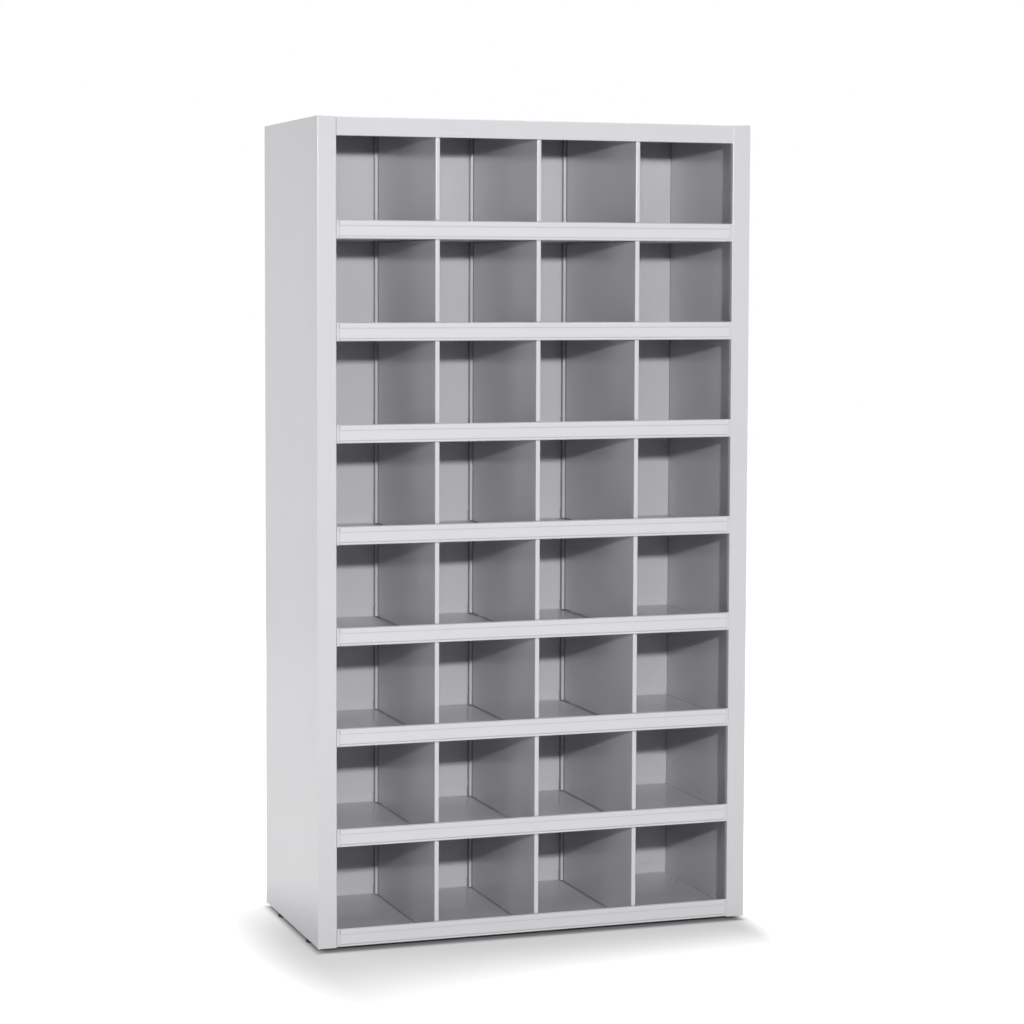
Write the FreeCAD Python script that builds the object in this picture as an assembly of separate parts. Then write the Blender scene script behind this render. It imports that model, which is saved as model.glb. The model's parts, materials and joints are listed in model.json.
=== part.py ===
import FreeCAD, Part
import math
import os

# Free-standing sheet-steel pigeonhole cabinet for sorting mail.
# Frame: origin on the floor at the middle of the footprint, +Z up, the open front faces -Y,
# +X is to the right of someone who stands in front of it. Lengths are millimetres.

# Carcase
cabinet_width = 1000.0
carcase_depth = 465.0
carcase_sheet = 1.0
bend_inner_radius = 1.0
short_leg_bend_share = 0.45
stile_width = 42.0
stile_return = 12.0
side_rear_flange = 20.0
side_base_flange = 8.0
side_above_top = 1.0
stile_ear_width = 14.0
base_height = 10.0
top_rail_height = 40.0
top_rail_return = 12.0
top_rear_flange = 20.0
top_side_flange = 18.0
base_bend_rise = 8.0
base_flange_relief = 6.0

# Rows and columns
row_count = 8
column_count = 4
opening_height = 178.5

# Shelf trays
tray_sheet = 0.8
fascia_height = 40.0
fascia_hem_height = 9.0
fascia_hem_gap = 0.4
shelf_rear_upstand = 25.0
shelf_side_upstand = 12.0

# Dividers
divider_face_width = 10.0
divider_face_return = 6.0
divider_rear_flange = 6.0
divider_rear_space = 13.0
divider_top_flange = 12.0
divider_top_flange_inset = 9.0
divider_floor_space = 2.5
divider_tab_length = 20.0
divider_tab_inset = 45.0

# Label holders on the shelf fascias
holder_sheet = 0.6
holder_projection = 2.4
holder_end_inset = 7.0
holder_edge_inset = 1.2
holder_upper_lip = 10.0
holder_lower_lip = 4.0

# Levelling feet
foot_side_inset = 17.0
foot_end_inset = 108.0
foot_pad_diameter = 32.0
foot_pad_thickness = 5.0
foot_pad_chamfer = 1.0
foot_socket_floor = 1.5
screw_diameter = 8.0
screw_length = 14.0
screw_chamfer = 0.8
screw_slot_width = 1.4
screw_slot_depth = 1.8
nut_across_flats = 13.0
nut_height = 4.0

# Clearances
seam_gap = 0.3
front_seam_gap = 0.1
slot_clearance = 0.3
screw_running_clearance = 0.05
screw_hole_clearance = 0.6

# Places worked out from the sizes above
half_width = cabinet_width / 2
front_y = (holder_projection - carcase_depth) / 2
rear_y = front_y + carcase_depth
web_inner_x = half_width - carcase_sheet
stile_inner_x = half_width - stile_width
fascia_half_length = stile_inner_x - front_seam_gap
back_panel_front_y = rear_y - 2 * carcase_sheet
tray_front_y = front_y + stile_return + seam_gap
row_pitch = opening_height + fascia_height
lowest_shelf_z = base_height + carcase_sheet
top_rail_bottom_z = lowest_shelf_z + row_count * row_pitch
top_z = top_rail_bottom_z + top_rail_height
side_top_z = top_z + side_above_top
top_underside_z = top_z - carcase_sheet
divider_front_y = front_y + 2 * tray_sheet + fascia_hem_gap + seam_gap
divider_rear_y = back_panel_front_y - divider_rear_space
opening_width = (2 * stile_inner_x - (column_count - 1) * divider_face_width) / column_count
screw_radius = screw_diameter / 2


def box(x_range, y_range, z_range):
    """Block between two planes on each axis."""
    low = FreeCAD.Vector(min(x_range), min(y_range), min(z_range))
    size_x = abs(x_range[1] - x_range[0])
    size_y = abs(y_range[1] - y_range[0])
    size_z = abs(z_range[1] - z_range[0])
    return Part.makeBox(size_x, size_y, size_z, low)


def in_plan(across, along):
    """Point of a section drawn in the XY plane."""
    return FreeCAD.Vector(across, along, 0)


def in_side_view(along, up):
    """Point of a section drawn in the YZ plane."""
    return FreeCAD.Vector(0, along, up)


def in_front_view(across, up):
    """Point of a section drawn in the XZ plane."""
    return FreeCAD.Vector(across, 0, up)


def bend_at(before, corner, after, radius):
    """Tangent points and centre of the bend that rounds one corner of a middle line."""
    toward_before = (before - corner).normalize()
    toward_after = (after - corner).normalize()
    half_angle = toward_before.getAngle(toward_after) / 2
    reach = radius / math.tan(half_angle)
    middle = (toward_before + toward_after).normalize()
    centre = corner + middle * (radius / math.sin(half_angle))
    return corner + toward_before * reach, corner + toward_after * reach, centre


def offset_edges(points, bends, normal, offset):
    """Lines and arcs beside a bent middle line, at a signed distance from it."""
    edges = []
    start = points[0]
    for index in range(1, len(points)):
        end = bends[index][0] if index in bends else points[index]
        direction = (points[index] - points[index - 1]).normalize()
        shift = normal.cross(direction) * offset
        edges.append(Part.LineSegment(start + shift, end + shift).toShape())
        if index in bends:
            leave, centre = bends[index][1:]
            next_direction = (points[index + 1] - points[index]).normalize()
            arc_start = end + shift
            arc_end = leave + normal.cross(next_direction) * offset
            to_corner = (points[index] - centre).normalize()
            arc_middle = centre + to_corner * (arc_start - centre).Length
            edges.append(Part.Arc(arc_start, arc_middle, arc_end).toShape())
            start = leave
    return edges


def folded_sheet(place, middle_line, sheet, sweep):
    """Sheet bent along a middle line in one plane and swept square to that plane.

    Each bend has the usual inner radius, or a share of its shorter leg where that is less.
    """
    points = [place(*point) for point in middle_line]
    normal = FreeCAD.Vector(sweep).normalize()
    bends = {}
    for index in range(1, len(points) - 1):
        shorter = min(
            (points[index] - points[index - 1]).Length,
            (points[index + 1] - points[index]).Length,
        )
        radius = min(bend_inner_radius + sheet / 2, short_leg_bend_share * shorter)
        bends[index] = bend_at(points[index - 1], points[index], points[index + 1], radius)
    one_side = offset_edges(points, bends, normal, sheet / 2)
    other_side = offset_edges(points, bends, normal, -sheet / 2)
    first_cap = Part.LineSegment(one_side[0].firstVertex().Point, other_side[0].firstVertex().Point)
    last_cap = Part.LineSegment(one_side[-1].lastVertex().Point, other_side[-1].lastVertex().Point)
    outline = Part.sortEdges(one_side + other_side + [first_cap.toShape(), last_cap.toShape()])[0]
    return Part.Face(Part.Wire(outline)).extrude(sweep)


def joined(shapes):
    """One solid from touching or overlapping shapes."""
    first = shapes[0]
    return first.fuse(shapes[1:]).removeSplitter().Solids[0]


def foot_places():
    """Names and plan positions of the four levelling feet."""
    x_place = half_width - foot_side_inset
    front_place = front_y + foot_end_inset
    rear_place = rear_y - foot_end_inset
    return {
        "front_left": (-x_place, front_place),
        "front_right": (x_place, front_place),
        "rear_left": (-x_place, rear_place),
        "rear_right": (x_place, rear_place),
    }


def screw_holes():
    """Clearance holes for the four foot screws through the floor of the lowest shelf."""
    return [
        Part.makeCylinder(
            screw_radius + screw_hole_clearance,
            tray_sheet,
            FreeCAD.Vector(x_place, y_place, lowest_shelf_z),
        )
        for x_place, y_place in foot_places().values()
    ]


def side_panel(side):
    """Side wall with its front stile, rear flange and base flange; side is -1 left, +1 right.

    The wall and an ear at the outer corner of the stile stand a little above the top sheet.
    """
    half_sheet = carcase_sheet / 2
    plan = [
        (side * (stile_inner_x + half_sheet), front_y + stile_return),
        (side * (stile_inner_x + half_sheet), front_y + half_sheet),
        (side * (half_width - half_sheet), front_y + half_sheet),
        (side * (half_width - half_sheet), rear_y - half_sheet),
        (side * (half_width - side_rear_flange), rear_y - half_sheet),
    ]
    height = FreeCAD.Vector(0, 0, side_top_z - base_height)
    wall = folded_sheet(in_plan, plan, carcase_sheet, height)
    wall.translate(FreeCAD.Vector(0, 0, base_height))

    flange_front_y = front_y + stile_return + base_flange_relief
    flange_rear_y = back_panel_front_y - base_flange_relief
    bend_top_z = base_height + base_bend_rise
    wall = wall.cut(
        box(
            (side * stile_inner_x, side * half_width),
            (flange_front_y, flange_rear_y),
            (base_height, bend_top_z),
        )
    )
    section = [
        (side * (half_width - side_base_flange), base_height + half_sheet),
        (side * (half_width - half_sheet), base_height + half_sheet),
        (side * (half_width - half_sheet), bend_top_z),
    ]
    length = FreeCAD.Vector(0, flange_rear_y - flange_front_y, 0)
    base_flange = folded_sheet(in_front_view, section, carcase_sheet, length)
    base_flange.translate(FreeCAD.Vector(0, flange_front_y, 0))

    top_seat = box(
        (-web_inner_x, web_inner_x),
        (front_y + carcase_sheet, rear_y - carcase_sheet),
        (top_underside_z, side_top_z),
    )
    level_stile_top = box(
        (side * stile_inner_x, side * (half_width - stile_ear_width)),
        (front_y, front_y + carcase_sheet),
        (top_z, side_top_z),
    )
    return joined([wall.cut(top_seat).cut(level_stile_top), base_flange])


def top_panel():
    """Top sheet with the front rail, the rear flange and two side flanges folded down."""
    half_sheet = carcase_sheet / 2
    rear_flange_half_length = half_width - side_rear_flange - seam_gap
    sheet = box(
        (-web_inner_x, web_inner_x),
        (front_y + carcase_sheet, rear_y - carcase_sheet),
        (top_underside_z, top_z),
    )
    middle_z = top_z - half_sheet
    front_section = [
        (front_y + top_rail_return, top_rail_bottom_z + half_sheet),
        (front_y + half_sheet, top_rail_bottom_z + half_sheet),
        (front_y + half_sheet, middle_z),
        (0, middle_z),
    ]
    front = folded_sheet(
        in_side_view, front_section, carcase_sheet, FreeCAD.Vector(2 * fascia_half_length, 0, 0)
    )
    front.translate(FreeCAD.Vector(-fascia_half_length, 0, 0))
    rear_section = [
        (0, middle_z),
        (rear_y - half_sheet, middle_z),
        (rear_y - half_sheet, top_z - top_rear_flange),
    ]
    rear = folded_sheet(
        in_side_view, rear_section, carcase_sheet, FreeCAD.Vector(2 * rear_flange_half_length, 0, 0)
    )
    rear.translate(FreeCAD.Vector(-rear_flange_half_length, 0, 0))
    side_flanges = [
        box(
            (side * (web_inner_x - carcase_sheet), side * web_inner_x),
            (tray_front_y, back_panel_front_y - seam_gap),
            (top_z - top_side_flange, top_z),
        )
        for side in (-1, 1)
    ]
    return joined([sheet, front, rear] + side_flanges)


def back_panel():
    """Flat rear wall, held in front of the rear flanges of the side and top panels."""
    panel_half_width = web_inner_x - bend_inner_radius
    return box(
        (-panel_half_width, panel_half_width),
        (back_panel_front_y, rear_y - carcase_sheet),
        (base_height, top_underside_z - bend_inner_radius),
    )


def shelf_z(row):
    """Underside of the shelf that carries a row; row 1 is the top row."""
    return lowest_shelf_z + (row_count - row) * row_pitch


def divider_x(number):
    """Left face of a divider; number 1 stands at the right of the first column."""
    return -stile_inner_x + number * opening_width + (number - 1) * divider_face_width


def tab_ranges():
    """Front-to-back stretches of the two tabs below a divider."""
    front_tab_y = divider_front_y + divider_tab_inset
    rear_tab_y = divider_rear_y - divider_tab_inset - divider_tab_length
    return [(start, start + divider_tab_length) for start in (front_tab_y, rear_tab_y)]


def tray_middle_section(underside_z):
    """Middle line of a shelf tray from the fascia hem to the rear upstand, in side view."""
    half_sheet = tray_sheet / 2
    hem_y = front_y + tray_sheet + fascia_hem_gap + half_sheet
    fascia_top_z = underside_z + fascia_height
    return [
        (hem_y, fascia_top_z - fascia_hem_height),
        (hem_y, fascia_top_z - half_sheet),
        (front_y + half_sheet, fascia_top_z - half_sheet),
        (front_y + half_sheet, underside_z + half_sheet),
        (back_panel_front_y - half_sheet, underside_z + half_sheet),
        (back_panel_front_y - half_sheet, underside_z + shelf_rear_upstand),
    ]


def shelf(row):
    """Shelf tray with front fascia, rear upstand, side upstands and slots for divider tabs."""
    underside_z = shelf_z(row)
    half_sheet = tray_sheet / 2
    section = tray_middle_section(underside_z)
    front = folded_sheet(
        in_side_view, section, tray_sheet, FreeCAD.Vector(2 * fascia_half_length, 0, 0)
    )
    front.translate(FreeCAD.Vector(-fascia_half_length, 0, 0))

    rear_half_length = web_inner_x - tray_sheet - seam_gap
    rear_section = [(tray_front_y, underside_z + half_sheet)] + section[-2:]
    rear = folded_sheet(
        in_side_view, rear_section, tray_sheet, FreeCAD.Vector(2 * rear_half_length, 0, 0)
    )
    rear.translate(FreeCAD.Vector(-rear_half_length, 0, 0))

    side_section = [
        (-web_inner_x + half_sheet, underside_z + shelf_side_upstand),
        (-web_inner_x + half_sheet, underside_z + half_sheet),
        (web_inner_x - half_sheet, underside_z + half_sheet),
        (web_inner_x - half_sheet, underside_z + shelf_side_upstand),
    ]
    side_rear_y = back_panel_front_y - bend_inner_radius - tray_sheet - seam_gap
    sides = folded_sheet(
        in_front_view, side_section, tray_sheet, FreeCAD.Vector(0, side_rear_y - tray_front_y, 0)
    )
    sides.translate(FreeCAD.Vector(0, tray_front_y, 0))

    tray = joined([front, rear, sides])
    for number in range(1, column_count):
        slot_x = (
            divider_x(number) - slot_clearance,
            divider_x(number) + tray_sheet + slot_clearance,
        )
        for tab_y in tab_ranges():
            slot_y = (tab_y[0] - slot_clearance, tab_y[1] + slot_clearance)
            tray = tray.cut(box(slot_x, slot_y, (underside_z, underside_z + tray_sheet)))
    if row == row_count:
        tray = tray.cut(screw_holes())
    return tray.Solids[0]


def divider(row, number):
    """Upright divider: folded face in front, channel behind, flange on top, two tabs below."""
    half_sheet = tray_sheet / 2
    left_x = divider_x(number)
    web_x = left_x + half_sheet
    tray_floor_z = shelf_z(row) + tray_sheet
    bottom_z = tray_floor_z + divider_floor_space
    ceiling_z = shelf_z(row - 1) if row > 1 else top_underside_z
    plan = [
        (left_x + divider_face_width - half_sheet, divider_front_y + divider_face_return),
        (left_x + divider_face_width - half_sheet, divider_front_y + half_sheet),
        (web_x, divider_front_y + half_sheet),
        (web_x, divider_rear_y - half_sheet),
        (left_x - divider_rear_flange + half_sheet, divider_rear_y - half_sheet),
        (left_x - divider_rear_flange + half_sheet, back_panel_front_y - tray_sheet - seam_gap),
    ]
    height = FreeCAD.Vector(0, 0, ceiling_z - bottom_z)
    web = folded_sheet(in_plan, plan, tray_sheet, height)
    web.translate(FreeCAD.Vector(0, 0, bottom_z))

    top_section = [
        (web_x, ceiling_z - divider_top_flange),
        (web_x, ceiling_z - half_sheet),
        (left_x + divider_top_flange, ceiling_z - half_sheet),
    ]
    flange_front_y = divider_front_y + divider_top_flange_inset
    flange_rear_y = divider_rear_y - divider_top_flange_inset
    bend_strip = box(
        (left_x, left_x + tray_sheet),
        (flange_front_y, flange_rear_y),
        (ceiling_z - divider_top_flange, ceiling_z),
    )
    length = FreeCAD.Vector(0, flange_rear_y - flange_front_y, 0)
    top_flange = folded_sheet(in_front_view, top_section, tray_sheet, length)
    top_flange.translate(FreeCAD.Vector(0, flange_front_y, 0))
    tabs = [
        box((left_x, left_x + tray_sheet), tab_y, (shelf_z(row), bottom_z))
        for tab_y in tab_ranges()
    ]
    plate = joined([web.cut(bend_strip), top_flange] + tabs)
    if row == 1:
        rail_clearance = box(
            (left_x - seam_gap, left_x + divider_face_width + seam_gap),
            (front_y, front_y + top_rail_return + seam_gap),
            (top_rail_bottom_z - seam_gap, ceiling_z),
        )
        plate = plate.cut(rail_clearance).Solids[0]
    return plate


def label_holder(row):
    """Channel strip on the front of a fascia; its two lips hold slide-in label cards."""
    half_sheet = holder_sheet / 2
    half_length = fascia_half_length - holder_end_inset
    upper_z = shelf_z(row) + fascia_height - holder_edge_inset
    lower_z = shelf_z(row) + holder_edge_inset
    lip_y = front_y - holder_projection + half_sheet
    plate_y = front_y - half_sheet
    section = [
        (lip_y, upper_z - holder_upper_lip),
        (lip_y, upper_z - half_sheet),
        (plate_y, upper_z - half_sheet),
        (plate_y, lower_z + half_sheet),
        (lip_y, lower_z + half_sheet),
        (lip_y, lower_z + holder_lower_lip),
    ]
    strip = folded_sheet(
        in_side_view, section, holder_sheet, FreeCAD.Vector(2 * half_length, 0, 0)
    )
    strip.translate(FreeCAD.Vector(-half_length, 0, 0))
    return strip


def foot_pad(x_place, y_place):
    """Round plastic pad; the lower end of its screw turns in the blind socket."""
    radius = foot_pad_diameter / 2
    pad = Part.makeCylinder(radius, foot_pad_thickness, FreeCAD.Vector(x_place, y_place, 0))
    rims = [edge for edge in pad.Edges if isinstance(edge.Curve, Part.Circle)]
    pad = pad.makeChamfer(foot_pad_chamfer, rims)
    socket = Part.makeCylinder(
        screw_radius + screw_running_clearance,
        foot_pad_thickness - foot_socket_floor,
        FreeCAD.Vector(x_place, y_place, foot_socket_floor),
    )
    return pad.cut(socket).Solids[0]


def levelling_screw(x_place, y_place):
    """Foot screw; the slot in its upper end is reached from inside a lowest compartment."""
    low_end = FreeCAD.Vector(x_place, y_place, foot_socket_floor)
    screw = Part.makeCylinder(screw_radius, screw_length, low_end)
    rims = [edge for edge in screw.Edges if isinstance(edge.Curve, Part.Circle)]
    screw = screw.makeChamfer(screw_chamfer, rims)
    tip_z = foot_socket_floor + screw_length
    slot = box(
        (x_place - screw_radius, x_place + screw_radius),
        (y_place - screw_slot_width / 2, y_place + screw_slot_width / 2),
        (tip_z - screw_slot_depth, tip_z),
    )
    return screw.cut(slot).Solids[0]


def weld_nut(x_place, y_place):
    """Thin hexagon nut welded under the lowest shelf, round a foot screw."""
    corner_radius = nut_across_flats / 2 / math.cos(math.pi / 6)
    underside_z = lowest_shelf_z - nut_height
    corners = [
        FreeCAD.Vector(
            x_place + corner_radius * math.cos(index * math.pi / 3),
            y_place + corner_radius * math.sin(index * math.pi / 3),
            underside_z,
        )
        for index in range(7)
    ]
    nut = Part.Face(Part.makePolygon(corners)).extrude(FreeCAD.Vector(0, 0, nut_height))
    bore = Part.makeCylinder(
        screw_radius + screw_running_clearance,
        nut_height,
        FreeCAD.Vector(x_place, y_place, underside_z),
    )
    return nut.cut(bore).Solids[0]


def all_nodes():
    """Every piece of the cabinet by name."""
    nodes = {
        "side_panel_left": side_panel(-1),
        "side_panel_right": side_panel(1),
        "top_panel": top_panel(),
        "back_panel": back_panel(),
    }
    for row in range(1, row_count + 1):
        nodes[f"shelf_{row}"] = shelf(row)
        nodes[f"label_holder_{row}"] = label_holder(row)
        for number in range(1, column_count):
            nodes[f"divider_row{row}_{number}"] = divider(row, number)
    nuts = []
    for name, (x_place, y_place) in foot_places().items():
        nodes[f"foot_pad_{name}"] = foot_pad(x_place, y_place)
        nodes[f"levelling_screw_{name}"] = levelling_screw(x_place, y_place)
        nuts.append(weld_nut(x_place, y_place))
    nodes["foot_weld_nuts"] = Part.makeCompound(nuts)
    return nodes


os.makedirs("parts", exist_ok=True)
for node_name, node_shape in all_nodes().items():
    node_shape.exportStep(f"parts/{node_name}.step")
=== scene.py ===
import json
import math

import bpy
from mathutils import Matrix, Vector


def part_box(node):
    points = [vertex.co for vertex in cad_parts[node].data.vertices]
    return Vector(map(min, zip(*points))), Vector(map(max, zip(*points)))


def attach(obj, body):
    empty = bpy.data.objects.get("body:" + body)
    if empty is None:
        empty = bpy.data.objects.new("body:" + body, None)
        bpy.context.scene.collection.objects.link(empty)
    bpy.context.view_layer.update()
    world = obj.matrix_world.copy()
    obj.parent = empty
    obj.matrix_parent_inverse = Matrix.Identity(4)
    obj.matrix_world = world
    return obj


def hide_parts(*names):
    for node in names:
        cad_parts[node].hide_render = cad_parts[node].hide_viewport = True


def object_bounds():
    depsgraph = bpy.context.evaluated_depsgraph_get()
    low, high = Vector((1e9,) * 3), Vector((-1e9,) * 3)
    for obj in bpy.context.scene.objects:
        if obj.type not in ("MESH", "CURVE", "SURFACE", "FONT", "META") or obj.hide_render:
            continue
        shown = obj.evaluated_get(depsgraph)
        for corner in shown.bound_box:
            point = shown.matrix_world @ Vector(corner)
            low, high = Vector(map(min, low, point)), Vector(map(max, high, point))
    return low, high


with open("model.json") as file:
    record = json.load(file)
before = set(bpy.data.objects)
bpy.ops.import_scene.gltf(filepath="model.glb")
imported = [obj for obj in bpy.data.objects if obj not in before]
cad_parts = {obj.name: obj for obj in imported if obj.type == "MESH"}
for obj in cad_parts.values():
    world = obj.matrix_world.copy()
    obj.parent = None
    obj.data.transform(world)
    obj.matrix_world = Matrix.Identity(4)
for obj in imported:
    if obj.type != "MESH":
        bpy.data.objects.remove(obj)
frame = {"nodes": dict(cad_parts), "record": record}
cad_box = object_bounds()

# Camera at the photograph's viewing angle; its focal length and image are in pixels
IMAGE_SIDE = 1024
FOCAL_PIXELS = 2704.0
PRINCIPAL_Y = 461.0
SENSOR_WIDTH_MM = 36.0
CAMERA_PLACE = Vector((-1.986, -5.805, 1.464))
CAMERA_YAW = math.radians(19.05)
CAMERA_PITCH = math.radians(3.93)
CAMERA_ROLL = math.radians(0.20)
NEAREST_SEEN = 0.1
FARTHEST_SEEN = 60.0

# Colours, as linear light
PAINT = (0.590, 0.586, 0.610)
HOLDER_PAINT = (0.625, 0.620, 0.645)
ZINC = (0.66, 0.67, 0.68)
PLASTIC = (0.020, 0.020, 0.022)
WHITE = (1.0, 1.0, 1.0, 1.0)

# Noise values seldom leave this range
NOISE_RANGE = (0.3, 0.7)

# Powder coat: noise scales, tones and heights in metres
PEEL_SCALE = 620.0
PEEL_HEIGHT = 0.000035
PEEL_ROUGHNESS = (0.20, 0.22)
GRIT_SCALE = 2600.0
GRIT_HEIGHT = 0.000006
GRIT_TONES = (0.985, 1.012)
CLOUD_SCALE = 5.0
CLOUD_HEIGHT = 0.0003
CLOUD_TONES = (0.990, 1.010)
STREAK_SCALE = 4.0
STREAK_ACROSS = 26.0
STREAK_ALONG = 1.2
STREAK_TONES = (0.997, 1.003)
STREAK_ROUGHNESS = (-0.003, 0.003)
COAT_IOR = 1.5

# Lighter over sharp edges, partly from thinner paint and partly a painted highlight; darker in recesses
# and gaps, which is painted shade, measured by their openness
EDGE_LIGHTENING_RADIUS = 0.0012
EDGE_LIGHTENING_TONE = 1.05
EDGE_LIGHTENING_COSINES = (0.85, 1.0)
EDGE_SAMPLES = 4
RECESS_REACH = 0.005
RECESS_SHADE_TONE = 0.30
RECESS_OPENNESS = (0.40, 0.95)
RECESS_SAMPLES = 6

# Rear strip of a divider, in metres before the divider's rear end, and the painted shade line on each
# side of it, in metres from the strip
REAR_STRIP_INSET = 0.0127
REAR_STRIP_EDGE = (0.0010, 0.0016)
FRONT_SHADE_LINE_INSET = 0.0050
FRONT_SHADE_LINE_EDGE = (0.0034, 0.0044)
FRONT_SHADE_LINE_TONE = 0.48
REAR_SHADE_LINE_EDGE = (0.0003, 0.0012)
REAR_SHADE_LINE_TONE = 0.50

# Turned and moulded pieces: noise scales, tones and heights in metres
RING_SQUEEZE = (40.0, 40.0, 4200.0)
RING_HEIGHT = 0.00001
RING_TONES = (0.96, 1.04)
BLOTCH_SCALE = 240.0
BLOTCH_TONES = (0.88, 1.05)
BLOTCH_ROUGHNESS = (0.24, 0.38)
MOULD_GRAIN_SCALE = 1400.0
MOULD_GRAIN_HEIGHT = 0.00003
MOULD_GRAIN_TONES = (0.95, 1.05)
DUST_SCALE = 90.0
DUST_TONES = (0.9, 1.9)
DUST_ROUGHNESS = (0.42, 0.62)
PLASTIC_IOR = 1.48

# Levelling screws
THREAD_PITCH = 0.00125
THREAD_DEPTH = 0.00062
THREAD_FLANK_SLOPE = 2.6
THREAD_ROOT_FLAT = 0.15
TIP_CHAMFER = 0.0008
SLOT_HALF_WIDTH = 0.0007
SLOT_DEPTH = 0.0018
SLOT_CUTTER_REACH = 1.5
STEPS_AROUND = 40
RINGS_A_TURN = 12

# Folds sharper than these angles stay sharp
SHEET_SHARP_ANGLE = math.radians(28.0)
SCREW_SHARP_ANGLE = math.radians(34.0)

# Floor: the shadow round the base thins out over these distances from the cabinet's box, washed out by a
# painted glow that only the camera and reflections see; the glow stops at the box's edge, which paints a
# dark contact line there
FLOOR_COLOUR = (0.42, 0.42, 0.42)
FLOOR_PAINTED_GLOW = 0.34
FLOOR_GRAIN_SCALE = 320.0
FLOOR_GRAIN_TONES = (0.995, 1.005)
FLOOR_REACH = 14.0
FLOOR_STEPS = 8
LEFT_SHADOW_END = 0.28
RIGHT_SHADOW_START = -0.04
RIGHT_SHADOW_END = 0.06
FRONT_SHADOW_END = 1.0
FRONT_THINNING = (0.9, 2.6)
FRONT_THINNING_MARGIN = 0.1
BACK_SHADOW_START = 0.10
BACK_SHADOW_END = 0.35
CONTACT_SHADE_EDGE = (-0.012, 0.010)

# Light: strengths of the white fill and of the white that is seen, and lamp powers in watts
FILL_STRENGTH = 0.10
SEEN_STRENGTH = 1.0
KEY_POWER = 187.0
OVERHEAD_POWER = 20.0
SIDE_POWER = 21.0
LEFT_POWER = 32.0
RIGHT_POWER = 44.0
ROOF_POWER = 90.0
BACK_POWER = 75.0


class Graph:
    """Node tree of a material or a world, with short ways to add and link nodes."""

    def __init__(self, owner, output="ShaderNodeOutputMaterial"):
        self.owner = owner
        self.owner.use_nodes = True
        self.tree = self.owner.node_tree
        self.tree.nodes.clear()
        self.output = self.add(output)

    def add(self, kind, **values):
        """New node with its properties set."""
        node = self.tree.nodes.new(kind)
        for key, value in values.items():
            setattr(node, key, value)
        return node

    def link(self, source, target):
        """Wire from an output to an input."""
        self.tree.links.new(source, target)

    def noise(self, vector, scale, detail=2.0, roughness=0.5):
        """Noise value at a place; a greater scale makes a finer pattern."""
        node = self.add("ShaderNodeTexNoise")
        node.inputs["Scale"].default_value = scale
        node.inputs["Detail"].default_value = detail
        node.inputs["Roughness"].default_value = roughness
        self.link(vector, node.inputs["Vector"])
        return node.outputs["Fac"]

    def remap(self, value, result, within=NOISE_RANGE, kind="LINEAR"):
        """Value that goes from one end of the result to the other as the given one crosses a range."""
        node = self.add("ShaderNodeMapRange", interpolation_type=kind)
        node.inputs["From Min"].default_value, node.inputs["From Max"].default_value = within
        node.inputs["To Min"].default_value, node.inputs["To Max"].default_value = result
        self.link(value, node.inputs["Value"])
        return node.outputs["Result"]

    def math(self, operation, *terms):
        """Result of an operation on one or two terms, each a number or an output."""
        node = self.add("ShaderNodeMath", operation=operation)
        for socket, value in zip(node.inputs, terms):
            if isinstance(value, (int, float)):
                socket.default_value = value
            else:
                self.link(value, socket)
        return node.outputs["Value"]

    def scaled(self, vector, factors):
        """Vector multiplied by a factor for each axis."""
        node = self.add("ShaderNodeVectorMath", operation="MULTIPLY")
        self.link(vector, node.inputs[0])
        node.inputs[1].default_value = factors
        return node.outputs["Vector"]

    def tinted(self, colour, brightness):
        """Colour times a brightness that varies over the surface."""
        node = self.add("ShaderNodeVectorMath", operation="SCALE")
        node.inputs[0].default_value = colour
        self.link(brightness, node.inputs["Scale"])
        return node.outputs["Vector"]

    def bump(self, height, distance, normal=None):
        """Normal of a surface that stands up by a height times a distance in metres."""
        node = self.add("ShaderNodeBump")
        node.inputs["Strength"].default_value = 1.0
        node.inputs["Distance"].default_value = distance
        self.link(height, node.inputs["Height"])
        if normal is not None:
            self.link(normal, node.inputs["Normal"])
        return node.outputs["Normal"]

    def finished(self, shader_output):
        """The material or world, with its surface wired up."""
        self.link(shader_output, self.output.inputs["Surface"])
        return self.owner


def thin_paint_and_highlight_on_edges(graph):
    """Brightness of the paint, a little more over a sharp edge: partly thinner paint there, partly a
    painted highlight along the edge.
    """
    edge = graph.add("ShaderNodeBevel", samples=EDGE_SAMPLES)
    edge.inputs["Radius"].default_value = EDGE_LIGHTENING_RADIUS
    surface = graph.add("ShaderNodeNewGeometry")
    turn = graph.add("ShaderNodeVectorMath", operation="DOT_PRODUCT")
    graph.link(edge.outputs["Normal"], turn.inputs[0])
    graph.link(surface.outputs["Normal"], turn.inputs[1])
    return graph.remap(turn.outputs["Value"], (EDGE_LIGHTENING_TONE, 1.0), within=EDGE_LIGHTENING_COSINES)


def shade_in_recesses(graph, reach, deepest_shade_tone, own_recesses):
    """Brightness of the paint, less in recesses and gaps: painted shade, by how hemmed in the surface
    is.
    """
    recess = graph.add("ShaderNodeAmbientOcclusion", samples=RECESS_SAMPLES, only_local=own_recesses)
    recess.inputs["Distance"].default_value = reach
    return graph.remap(recess.outputs["AO"], (deepest_shade_tone, 1.0), within=RECESS_OPENNESS)


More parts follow.
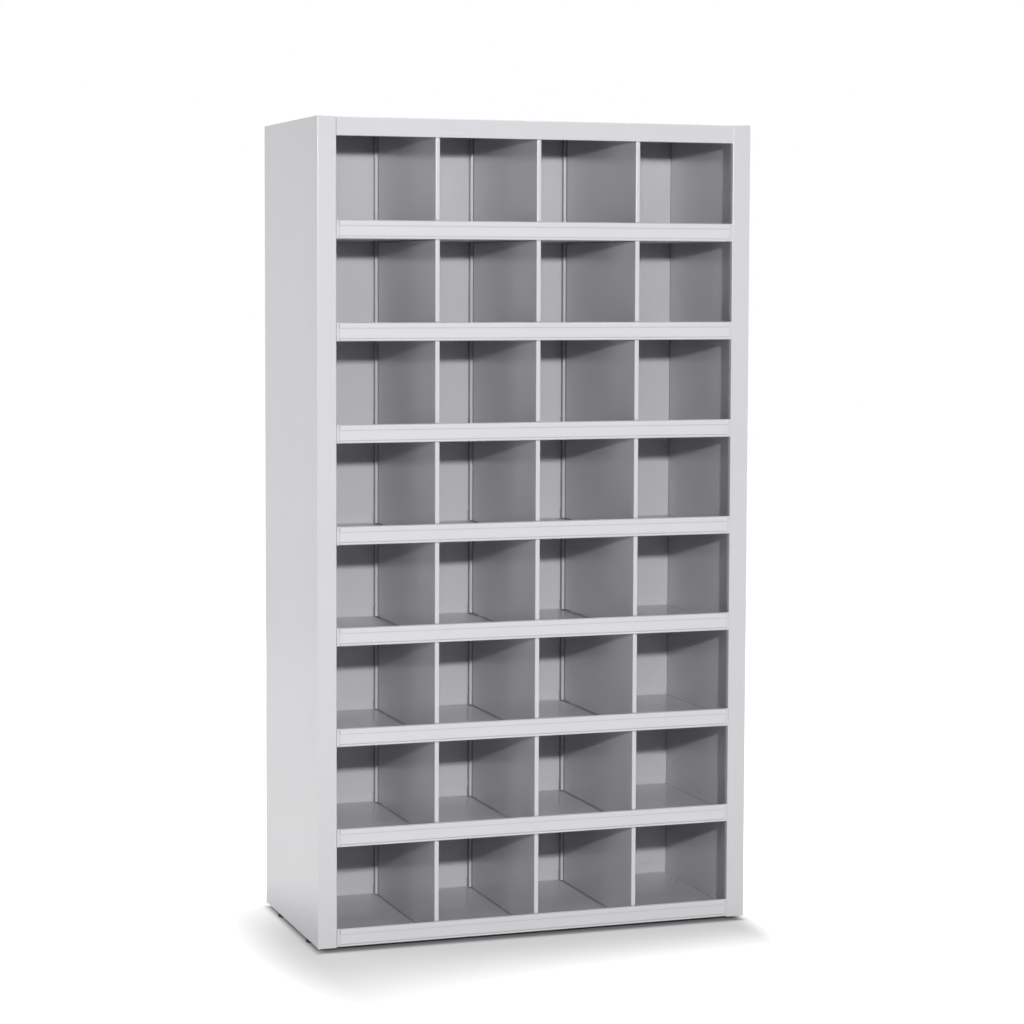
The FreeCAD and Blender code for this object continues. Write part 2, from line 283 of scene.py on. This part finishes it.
def rear_strip_painted_shade(graph, place):
    """Brightness of the painted shade lines beside a divider's rear strip, and the share that is the
    strip, which is kept clear of the painted recess shade.
    """
    strip_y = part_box("divider_row1_1")[1].y - REAR_STRIP_INSET
    axes = graph.add("ShaderNodeSeparateXYZ")
    graph.link(place, axes.inputs["Vector"])
    behind = graph.math("SUBTRACT", axes.outputs["Y"], strip_y)
    from_front_shade_line = graph.math("ABSOLUTE", graph.math("ADD", behind, FRONT_SHADE_LINE_INSET))
    front_shade_line = graph.remap(from_front_shade_line, (FRONT_SHADE_LINE_TONE, 1.0), within=FRONT_SHADE_LINE_EDGE)
    rear_shade_line = graph.remap(behind, (1.0, REAR_SHADE_LINE_TONE), within=REAR_SHADE_LINE_EDGE)
    strip = graph.remap(graph.math("ABSOLUTE", behind), (1.0, 0.0), within=REAR_STRIP_EDGE)
    return graph.math("MULTIPLY", front_shade_line, rear_shade_line), strip


def powder_coat(
    name,
    colour,
    streak_axis,
    recess_reach=RECESS_REACH,
    recess_shade_tone=RECESS_SHADE_TONE,
    own_recesses=False,
    rear_strip_shade=False,
):
    """Satin powder coat: orange peel, slight tone changes, lighter edges that are partly thinner paint
    and partly a painted highlight, painted shade in recesses and, if asked, painted shade lines beside a
    divider's rear strip.
    """
    graph = Graph(bpy.data.materials.new(name))
    place = graph.add("ShaderNodeTexCoord").outputs["Object"]
    peel = graph.noise(place, PEEL_SCALE, detail=2.0)
    grit = graph.noise(place, GRIT_SCALE, detail=1.0)
    cloud = graph.noise(place, CLOUD_SCALE, detail=3.0)
    squeeze = [STREAK_ALONG if axis == streak_axis else STREAK_ACROSS for axis in "XYZ"]
    streak = graph.noise(graph.scaled(place, squeeze), STREAK_SCALE, detail=4.0, roughness=0.6)

    tone = graph.math("MULTIPLY", graph.remap(cloud, CLOUD_TONES), graph.remap(streak, STREAK_TONES))
    tone = graph.math("MULTIPLY", tone, graph.remap(grit, GRIT_TONES))
    # Painted highlight along sharp edges, partly also thinner paint there
    tone = graph.math("MULTIPLY", tone, thin_paint_and_highlight_on_edges(graph))
    # Painted shade in recesses and gaps, from occlusion
    recess_shade = shade_in_recesses(graph, recess_reach, recess_shade_tone, own_recesses)
    # Painted shade: a dark line on each side of a divider's rear strip, and no recess shade on the strip
    # itself
    if rear_strip_shade:
        lines, strip = rear_strip_painted_shade(graph, place)
        recess_shade = graph.math("MULTIPLY", graph.math("MAXIMUM", recess_shade, strip), lines)
    tone = graph.math("MULTIPLY", tone, recess_shade)

    shader = graph.add("ShaderNodeBsdfPrincipled")
    shader.inputs["IOR"].default_value = COAT_IOR
    graph.link(graph.tinted(colour, tone), shader.inputs["Base Color"])
    roughness = graph.math(
        "ADD", graph.remap(peel, PEEL_ROUGHNESS), graph.remap(streak, STREAK_ROUGHNESS)
    )
    graph.link(roughness, shader.inputs["Roughness"])
    wave = graph.bump(cloud, CLOUD_HEIGHT)
    fine = graph.bump(peel, PEEL_HEIGHT, normal=wave)
    finest = graph.bump(grit, GRIT_HEIGHT, normal=fine)
    graph.link(finest, shader.inputs["Normal"])
    return graph.finished(shader.outputs["BSDF"])


def zinc_plate(name):
    """Bright zinc plate on a turned screw: fine rings and a blotchy passivated tone."""
    graph = Graph(bpy.data.materials.new(name))
    place = graph.add("ShaderNodeTexCoord").outputs["Object"]
    rings = graph.noise(graph.scaled(place, RING_SQUEEZE), 1.0, detail=2.0)
    blotch = graph.noise(place, BLOTCH_SCALE, detail=3.0)
    shader = graph.add("ShaderNodeBsdfPrincipled")
    shader.inputs["Metallic"].default_value = 1.0
    tone = graph.math("MULTIPLY", graph.remap(blotch, BLOTCH_TONES), graph.remap(rings, RING_TONES))
    graph.link(graph.tinted(ZINC, tone), shader.inputs["Base Color"])
    graph.link(graph.remap(blotch, BLOTCH_ROUGHNESS), shader.inputs["Roughness"])
    graph.link(graph.bump(rings, RING_HEIGHT), shader.inputs["Normal"])
    return graph.finished(shader.outputs["BSDF"])


def moulded_plastic(name):
    """Black moulded plastic with an eroded-die grain and a little dust."""
    graph = Graph(bpy.data.materials.new(name))
    place = graph.add("ShaderNodeTexCoord").outputs["Object"]
    grain = graph.noise(place, MOULD_GRAIN_SCALE, detail=2.0)
    dust = graph.noise(place, DUST_SCALE, detail=4.0)
    shader = graph.add("ShaderNodeBsdfPrincipled")
    shader.inputs["IOR"].default_value = PLASTIC_IOR
    tone = graph.math("MULTIPLY", graph.remap(dust, DUST_TONES), graph.remap(grain, MOULD_GRAIN_TONES))
    graph.link(graph.tinted(PLASTIC, tone), shader.inputs["Base Color"])
    graph.link(graph.remap(dust, DUST_ROUGHNESS), shader.inputs["Roughness"])
    graph.link(graph.bump(grain, MOULD_GRAIN_HEIGHT), shader.inputs["Normal"])
    return graph.finished(shader.outputs["BSDF"])


# Each finish's recess reach and tone set how far and how dark its painted recess shade goes
FINISHES = {
    "carcase_paint": powder_coat("carcase_powder_coat", PAINT, "Z", own_recesses=True),
    "shelf_paint": powder_coat("shelf_powder_coat", PAINT, "X", recess_reach=0.004, recess_shade_tone=0.50),
    "divider_paint": powder_coat("divider_powder_coat", PAINT, "Z", rear_strip_shade=True),
    "label_holder_paint": powder_coat(
        "label_holder_powder_coat",
        HOLDER_PAINT,
        "X",
        recess_reach=0.004,
        recess_shade_tone=0.45,
        own_recesses=True,
    ),
    "nut_paint": powder_coat("nut_powder_coat", PAINT, "Z", own_recesses=True),
    "screw_zinc": zinc_plate("screw_zinc_plate"),
    "pad_plastic": moulded_plastic("pad_moulded_plastic"),
}


def smooth_except_folds(mesh, sharp_angle):
    """Smooth shading over round faces, with the folds kept sharp."""
    mesh.polygons.foreach_set("use_smooth", [True] * len(mesh.polygons))
    mesh.set_sharp_from_angle(angle=sharp_angle)


def finish_cad_nodes():
    """Finish of each CAD node by its material slot in the record."""
    for entry in frame["record"]["subparts"]:
        node = frame["nodes"][entry["node"]]
        for slot in node.material_slots:
            slot.material = FINISHES[entry["material_slot"]]
        smooth_except_folds(node.data, SHEET_SHARP_ANGLE)
        node.data.update()


def placed(piece):
    """The same object, linked into the scene."""
    bpy.context.scene.collection.objects.link(piece)
    return piece


def upright_round(low, high):
    """Place of the axis, in x and y, and radius of an upright round piece that fills a box."""
    return (low.x + high.x) / 2, (low.y + high.y) / 2, (high.x - low.x) / 2


def thread_mesh(name, low, high):
    """Closed mesh of a rolled thread with chamfered ends that fills a box."""
    centre_x, centre_y, radius = upright_round(low, high)
    length = high.z - low.z
    rings = int(length / THREAD_PITCH * RINGS_A_TURN)
    points = []
    for ring in range(rings + 1):
        height = length * ring / rings
        limit = radius - max(0.0, TIP_CHAMFER - height, TIP_CHAMFER - (length - height))
        for step in range(STEPS_AROUND):
            angle = 2 * math.pi * step / STEPS_AROUND
            phase = (height / THREAD_PITCH - step / STEPS_AROUND) % 1.0
            crest = min(1.0, max(0.0, abs(phase - 0.5) * THREAD_FLANK_SLOPE - THREAD_ROOT_FLAT))
            reach = min(limit, radius - THREAD_DEPTH * (1.0 - crest))
            points.append(
                (centre_x + reach * math.cos(angle), centre_y + reach * math.sin(angle), low.z + height)
            )
    faces = []
    for ring in range(rings):
        for step in range(STEPS_AROUND):
            beside = (step + 1) % STEPS_AROUND
            first, second = ring * STEPS_AROUND, (ring + 1) * STEPS_AROUND
            faces.append((first + step, first + beside, second + beside, second + step))
    faces.append(tuple(reversed(range(STEPS_AROUND))))
    faces.append(tuple(rings * STEPS_AROUND + step for step in range(STEPS_AROUND)))
    mesh = bpy.data.meshes.new(name)
    mesh.from_pydata(points, [], faces)
    return mesh


def slot_cutter(low, high):
    """Block that cuts the screwdriver slot across the top of a screw."""
    centre_x, centre_y, radius = upright_round(low, high)
    half_length = radius * SLOT_CUTTER_REACH
    corners = [
        (centre_x + x * half_length, centre_y + y * SLOT_HALF_WIDTH, z)
        for z in (high.z - SLOT_DEPTH, high.z + SLOT_DEPTH)
        for x, y in ((-1, -1), (1, -1), (1, 1), (-1, 1))
    ]
    sides = [(0, 3, 2, 1), (4, 5, 6, 7), (0, 1, 5, 4), (1, 2, 6, 5), (2, 3, 7, 6), (3, 0, 4, 7)]
    mesh = bpy.data.meshes.new("slot_cutter")
    mesh.from_pydata(corners, [], sides)
    return placed(bpy.data.objects.new("slot_cutter", mesh))


def threaded_screw(node_name, body_name):
    """Levelling screw with a rolled thread, chamfered ends and a slot for a screwdriver."""
    low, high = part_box(node_name)
    name = f"thread_{node_name}"
    screw = placed(bpy.data.objects.new(name, thread_mesh(name, low, high)))
    cutter = slot_cutter(low, high)
    cut = screw.modifiers.new("slot", "BOOLEAN")
    cut.operation = "DIFFERENCE"
    cut.solver = "EXACT"
    cut.object = cutter
    bpy.context.view_layer.update()
    depsgraph = bpy.context.evaluated_depsgraph_get()
    result = bpy.data.meshes.new_from_object(screw.evaluated_get(depsgraph))
    screw.modifiers.clear()
    screw.data = result
    bpy.data.objects.remove(cutter)
    smooth_except_folds(result, SCREW_SHARP_ANGLE)
    result.materials.append(FINISHES["screw_zinc"])
    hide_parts(node_name)
    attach(screw, body_name)


def shadow_fade(graph, x_place, y_place):
    """Share from 0 by the cabinet to 1 where the floor's painted glow has run out to white."""
    low, high = cad_box
    left = graph.remap(x_place, (1.0, 0.0), within=(low[0] - LEFT_SHADOW_END, low[0]))
    right = graph.remap(
        x_place, (0.0, 1.0), within=(high[0] + RIGHT_SHADOW_START, high[0] + RIGHT_SHADOW_END)
    )
    front = graph.remap(y_place, (1.0, 0.0), within=(low[1] - FRONT_SHADOW_END, low[1]))
    thinning = graph.remap(
        x_place, FRONT_THINNING, within=(low[0], high[0] + FRONT_THINNING_MARGIN)
    )
    back = graph.remap(
        y_place, (0.0, 1.0), within=(low[1] + BACK_SHADOW_START, high[1] + BACK_SHADOW_END)
    )
    across = graph.math("ADD", left, right)
    along = graph.math("ADD", graph.math("MULTIPLY", front, thinning), back)
    square = graph.math("ADD", graph.math("POWER", across, 2.0), graph.math("POWER", along, 2.0))
    distance = graph.math("SQRT", square)
    return graph.remap(distance, (0.0, 1.0), within=(0.0, 1.0), kind="SMOOTHSTEP")


def painted_contact_shade(graph, x_place, y_place):
    """Share of the floor's painted glow, from 0 under the cabinet to 1 beside it; its ramp across the
    base's edge paints a dark contact line.
    """
    low, high = cad_box
    beside = graph.math(
        "MAXIMUM", graph.math("SUBTRACT", low[0], x_place), graph.math("SUBTRACT", x_place, high[0])
    )
    before = graph.math(
        "MAXIMUM", graph.math("SUBTRACT", low[1], y_place), graph.math("SUBTRACT", y_place, high[1])
    )
    outside = graph.math("MAXIMUM", beside, before)
    return graph.remap(outside, (0.0, 1.0), within=CONTACT_SHADE_EDGE)


def seen_rays(graph):
    """Share that is 1 for what is seen, mirrored or seen through glass, and 0 for light on things."""
    rays = graph.add("ShaderNodeLightPath")
    seen = graph.math("MAXIMUM", rays.outputs["Is Camera Ray"], rays.outputs["Is Glossy Ray"])
    return graph.math("MAXIMUM", seen, rays.outputs["Is Transmission Ray"])


def floor_material():
    """Pale floor that keeps the shadow round the base, under a painted glow that only the camera and
    reflections see: weaker near the base, fading to none at its edge (painted contact shade), plain
    white further out.
    """
    graph = Graph(bpy.data.materials.new("studio_floor"))
    place = graph.add("ShaderNodeTexCoord").outputs["Object"]
    axes = graph.add("ShaderNodeSeparateXYZ")
    graph.link(place, axes.inputs["Vector"])
    fade = shadow_fade(graph, axes.outputs["X"], axes.outputs["Y"])
    glow_beside_base = painted_contact_shade(graph, axes.outputs["X"], axes.outputs["Y"])
    surface = graph.add("ShaderNodeBsdfDiffuse")
    grain = graph.remap(graph.noise(place, FLOOR_GRAIN_SCALE, detail=3.0), FLOOR_GRAIN_TONES)
    graph.link(graph.tinted(FLOOR_COLOUR, grain), surface.inputs["Color"])
    painted_glow = graph.add("ShaderNodeMix", data_type="FLOAT")
    graph.link(fade, painted_glow.inputs["Factor"])
    painted_glow.inputs["A"].default_value = FLOOR_PAINTED_GLOW
    painted_glow.inputs["B"].default_value = SEEN_STRENGTH
    # Painted light: the glow is weak near the base and fades out at its edge, which paints the shade
    # round the base
    strength = graph.math("MULTIPLY", glow_beside_base, painted_glow.outputs["Result"])
    white = graph.add("ShaderNodeEmission")
    graph.link(graph.math("MULTIPLY", seen_rays(graph), strength), white.inputs["Strength"])
    total = graph.add("ShaderNodeAddShader")
    graph.link(surface.outputs["BSDF"], total.inputs[0])
    graph.link(white.outputs["Emission"], total.inputs[1])
    return graph.finished(total.outputs["Shader"])


def studio_floor():
    """Flat floor under the cabinet, far enough to fill every view."""
    side = FLOOR_STEPS + 1
    ticks = [-FLOOR_REACH + 2 * FLOOR_REACH * step / FLOOR_STEPS for step in range(side)]
    points = [(x, y, 0.0) for y in ticks for x in ticks]
    faces = [
        (row * side + col, row * side + col + 1, (row + 1) * side + col + 1, (row + 1) * side + col)
        for row in range(FLOOR_STEPS)
        for col in range(FLOOR_STEPS)
    ]
    mesh = bpy.data.meshes.new("studio_floor")
    mesh.from_pydata(points, [], faces)
    mesh.materials.append(floor_material())
    placed(bpy.data.objects.new("studio_floor", mesh))


def white_background(graph, strength):
    """Even white light of a strength from all round."""
    background = graph.add("ShaderNodeBackground")
    background.inputs["Color"].default_value = WHITE
    background.inputs["Strength"].default_value = strength
    return background.outputs["Background"]


def white_surroundings():
    """World that gives a weak even fill and looks white to the camera and in reflections."""
    world = bpy.data.worlds.new("studio")
    bpy.context.scene.world = world
    graph = Graph(world, output="ShaderNodeOutputWorld")
    blend = graph.add("ShaderNodeMixShader")
    graph.link(seen_rays(graph), blend.inputs["Fac"])
    graph.link(white_background(graph, FILL_STRENGTH), blend.inputs[1])
    graph.link(white_background(graph, SEEN_STRENGTH), blend.inputs[2])
    graph.finished(blend.outputs["Shader"])


def soft_light(name, place, target, diameter, power, mirrored=False):
    """Disc light that points from its place at a target; gloss mirrors its disc only if asked."""
    data = bpy.data.lights.new(name, "AREA")
    data.shape = "DISK"
    data.size = diameter
    data.energy = power
    light = bpy.data.objects.new(name, data)
    light.location = place
    direction = Vector(target) - Vector(place)
    light.rotation_mode = "QUATERNION"
    light.rotation_quaternion = direction.to_track_quat("-Z", "Y")
    light.visible_glossy = mirrored
    placed(light)


def lamps():
    """Key light beside the camera, and soft lights that open up the other sides."""
    soft_light(
        "key_light",
        place=(-1.03, -5.30, 1.98),
        target=(0.0, -0.2, 0.9),
        diameter=0.18,
        power=KEY_POWER,
        mirrored=True,
    )
    soft_light(
        "overhead_light",
        place=(0.48, -3.63, 3.65),
        target=(0.0, -0.2, 0.5),
        diameter=0.30,
        power=OVERHEAD_POWER,
        mirrored=True,
    )
    soft_light(
        "side_light", place=(-2.5, 0.2, 1.15), target=(-0.5, 0.2, 1.15), diameter=1.2, power=SIDE_POWER
    )
    soft_light(
        "left_light", place=(-4.2, -3.2, 1.2), target=(0.0, -0.2, 0.9), diameter=2.0, power=LEFT_POWER
    )
    soft_light(
        "right_light", place=(4.2, -2.6, 1.3), target=(0.3, -0.2, 1.1), diameter=2.0, power=RIGHT_POWER
    )
    soft_light(
        "roof_light", place=(-0.15, 0.10, 4.5), target=(-0.15, 0.10, 0.0), diameter=0.8, power=ROOF_POWER
    )
    soft_light(
        "back_light", place=(0.6, 4.8, 1.1), target=(0.0, 0.2, 0.9), diameter=1.6, power=BACK_POWER
    )


def camera():
    """Camera turned by yaw, pitch and roll, with a small shift for the framing."""
    data = bpy.data.cameras.new("camera")
    data.sensor_width = SENSOR_WIDTH_MM
    data.lens = FOCAL_PIXELS / IMAGE_SIDE * data.sensor_width
    data.shift_y = (PRINCIPAL_Y - IMAGE_SIDE / 2) / IMAGE_SIDE
    data.clip_start = NEAREST_SEEN
    data.clip_end = FARTHEST_SEEN
    view = bpy.data.objects.new("camera", data)
    ahead = Vector((
        math.sin(CAMERA_YAW) * math.cos(CAMERA_PITCH),
        math.cos(CAMERA_YAW) * math.cos(CAMERA_PITCH),
        -math.sin(CAMERA_PITCH),
    ))
    level = Vector((math.cos(CAMERA_YAW), -math.sin(CAMERA_YAW), 0.0))
    above = level.cross(ahead)
    right = math.cos(CAMERA_ROLL) * level + math.sin(CAMERA_ROLL) * above
    up = -math.sin(CAMERA_ROLL) * level + math.cos(CAMERA_ROLL) * above
    view.matrix_world = Matrix((
        (right.x, up.x, -ahead.x, CAMERA_PLACE.x),
        (right.y, up.y, -ahead.y, CAMERA_PLACE.y),
        (right.z, up.z, -ahead.z, CAMERA_PLACE.z),
        (0.0, 0.0, 0.0, 1.0),
    ))
    bpy.context.scene.camera = placed(view)


finish_cad_nodes()
for corner in ("front_left", "front_right", "rear_left", "rear_right"):
    threaded_screw(f"levelling_screw_{corner}", f"screw_{corner}")
studio_floor()
white_surroundings()
lamps()
camera()
bpy.context.scene.view_settings.view_transform = "Standard"
